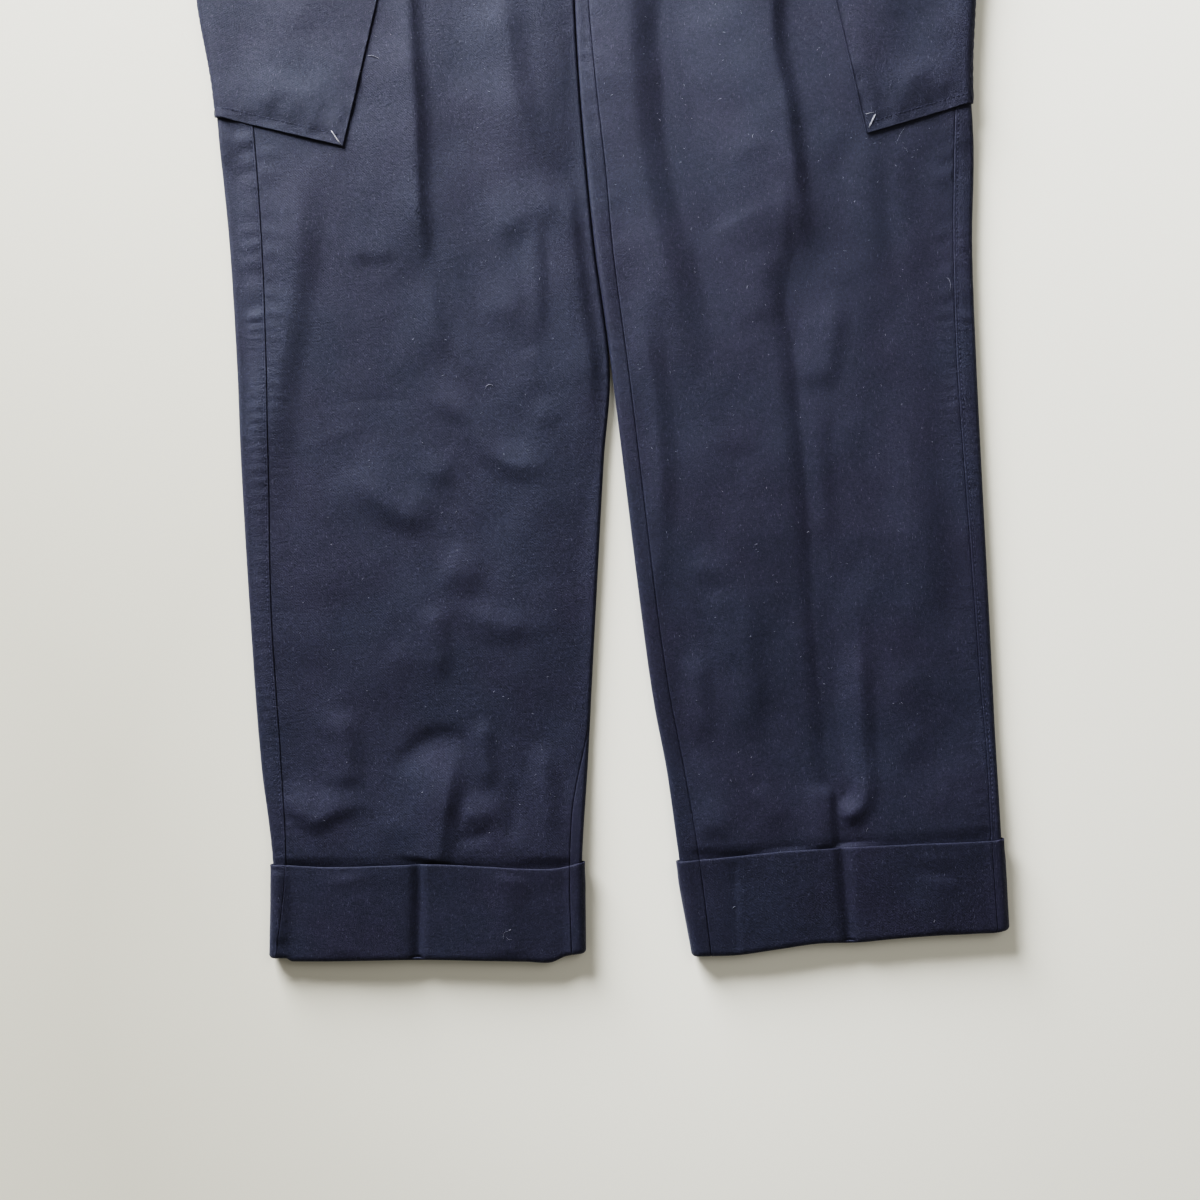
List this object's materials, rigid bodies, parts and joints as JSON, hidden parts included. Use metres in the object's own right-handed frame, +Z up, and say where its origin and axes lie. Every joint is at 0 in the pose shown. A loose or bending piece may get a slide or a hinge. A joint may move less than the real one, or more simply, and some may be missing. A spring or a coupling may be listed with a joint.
{
  "type": "cargo trousers laid flat",
  "caption": "Cargo trousers with pressed creases and deep turn-ups, laid flat on their back, with slanted patch pockets wrapped round the sides.",
  "frame": {"origin": "on the surface the trousers lie on, under the middle of their outline", "axes": "+X towards the wearer's left, +Y from the hems towards the waist, +Z up from the surface, out of the front"},
  "size_m": [0.5484, 1.006, 0.0154],
  "materials": {
    "wool": "navy brushed wool flannel, matt with a soft nap",
    "button": "dark horn-coloured resin with a soft gloss"
  },
  "bodies": {
    "root": {"front_right": "wool", "front_left": "wool", "back_right": "wool", "back_left": "wool", "cargo_pocket_right": "wool", "cargo_pocket_left": "wool", "pocket_bellows_right": "wool", "pocket_bellows_left": "wool", "pocket_flap_right": "wool", "pocket_flap_left": "wool", "waistband": "wool", "waist_button": "button"}
  },
  "joints": []
}
